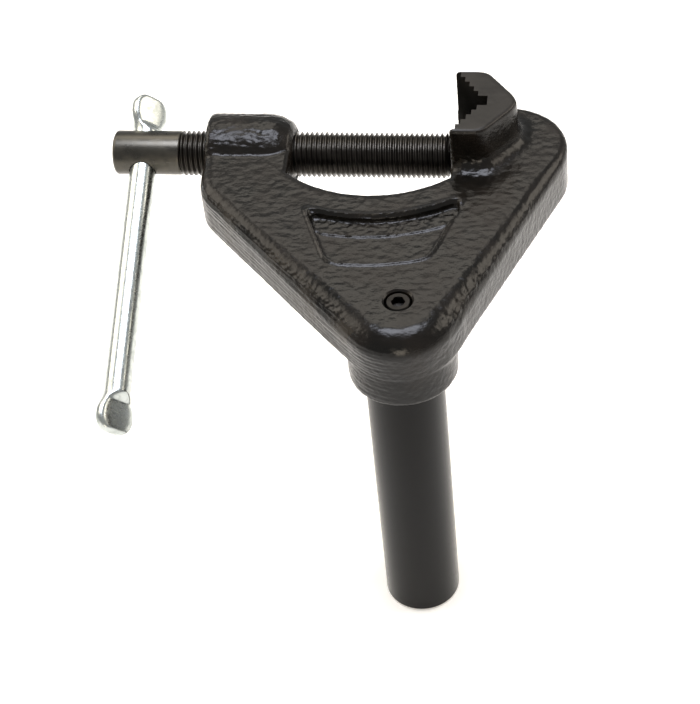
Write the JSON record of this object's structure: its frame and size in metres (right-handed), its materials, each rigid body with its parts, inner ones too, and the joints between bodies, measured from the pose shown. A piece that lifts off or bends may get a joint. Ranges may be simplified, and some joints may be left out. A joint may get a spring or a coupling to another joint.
{
  "type": "pipe clamp support arm",
  "caption": "Cast yoke clamp with a serrated V jaw, a clamp screw with swivel pad and sliding tommy bar, and a round support arm square to the yoke.",
  "frame": {"origin": "on the clamp screw's axis, where the two flanks of the V jaw would meet, halfway through the yoke's plate", "axes": "+X along the clamp screw from the handle to the jaw, +Z square to the yoke's face, away from the support arm, -Y from the screw towards the apex that carries the arm"},
  "size_m": [0.1923, 0.1489, 0.1921],
  "materials": {
    "enamelled_iron": "glossy black enamel over rough sand-cast iron",
    "arm_enamel": "smooth satin black enamel on drawn steel bar",
    "black_oxide_steel": "oiled black oxide on turned steel",
    "spring_steel": "plain hardened spring steel",
    "zinc_plate": "bright zinc plate on drawn steel"
  },
  "bodies": {
    "yoke": {"clamp_body": "enamelled_iron", "support_arm": "arm_enamel", "arm_lock_washer": "spring_steel", "arm_cap_screw": "black_oxide_steel"},
    "pad": {"pressure_pad": "black_oxide_steel", "pad_snap_ring": "spring_steel"},
    "screw": {"clamp_screw": "black_oxide_steel"},
    "bar": {"handle_bar": "zinc_plate"}
  },
  "joints": [
    {"name": "screw_travel", "type": "slide", "parent": "yoke", "child": "pad", "axis": [1, 0, 0], "range_m": [-0.0615, 0.002]},
    {"name": "screw_spin", "type": "hinge", "parent": "pad", "child": "screw", "pos_m": [0, 0, 0], "axis": [1, 0, 0], "range_deg": [-10440, 324]},
    {"name": "bar_slide", "type": "slide", "parent": "screw", "child": "bar", "axis": [0, 0.9198, 0.3923], "range_m": [0, 0.1]}
  ],
  "couplings": [
    {"joint": "screw_travel", "follows": "screw_spin", "m_per_rad": 0.00033689}
  ]
}
